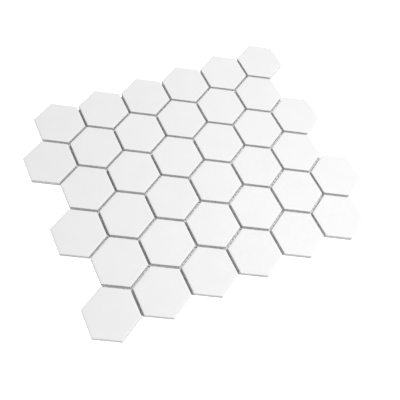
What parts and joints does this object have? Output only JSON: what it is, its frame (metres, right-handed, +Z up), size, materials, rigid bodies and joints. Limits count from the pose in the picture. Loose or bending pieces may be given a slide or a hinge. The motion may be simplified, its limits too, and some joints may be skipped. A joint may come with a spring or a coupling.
{
  "type": "hexagon porcelain mosaic tile sheet",
  "caption": "Flat sheet of matte white hexagon porcelain tiles set in offset rows with open joints, held together by a mesh on the back, for covering a wall or floor.",
  "frame": {"origin": "under the middle of the sheet, on the plane of the back of the mesh", "axes": "+Z up out of the tile faces, +X along the rows of tiles (the long side), +Y across the rows"},
  "size_m": [0.3452, 0.2902, 0.006],
  "materials": {
    "porcelain": "matte",
    "mesh": "matte"
  },
  "bodies": {
    "root": {"tile_r1_c1": "porcelain", "tile_r1_c2": "porcelain", "tile_r1_c3": "porcelain", "tile_r1_c4": "porcelain", "tile_r1_c5": "porcelain", "tile_r1_c6": "porcelain", "tile_r2_c1": "porcelain", "tile_r2_c2": "porcelain", "tile_r2_c3": "porcelain", "tile_r2_c4": "porcelain", "tile_r2_c5": "porcelain", "tile_r2_c6": "porcelain", "tile_r3_c1": "porcelain", "tile_r3_c2": "porcelain", "tile_r3_c3": "porcelain", "tile_r3_c4": "porcelain", "tile_r3_c5": "porcelain", "tile_r3_c6": "porcelain", "tile_r4_c1": "porcelain", "tile_r4_c2": "porcelain", "tile_r4_c3": "porcelain", "tile_r4_c4": "porcelain", "tile_r4_c5": "porcelain", "tile_r4_c6": "porcelain", "tile_r5_c1": "porcelain", "tile_r5_c2": "porcelain", "tile_r5_c3": "porcelain", "tile_r5_c4": "porcelain", "tile_r5_c5": "porcelain", "tile_r5_c6": "porcelain", "tile_r6_c1": "porcelain", "tile_r6_c2": "porcelain", "tile_r6_c3": "porcelain", "tile_r6_c4": "porcelain", "tile_r6_c5": "porcelain", "tile_r6_c6": "porcelain", "mesh_backing_01": "mesh", "mesh_backing_02": "mesh", "mesh_backing_03": "mesh", "mesh_backing_04": "mesh", "mesh_backing_05": "mesh", "mesh_backing_06": "mesh", "mesh_backing_07": "mesh", "mesh_backing_08": "mesh", "mesh_backing_09": "mesh", "mesh_backing_10": "mesh", "mesh_backing_11": "mesh", "mesh_backing_12": "mesh", "mesh_backing_13": "mesh", "mesh_backing_14": "mesh", "mesh_backing_15": "mesh", "mesh_backing_16": "mesh"}
  },
  "joints": []
}
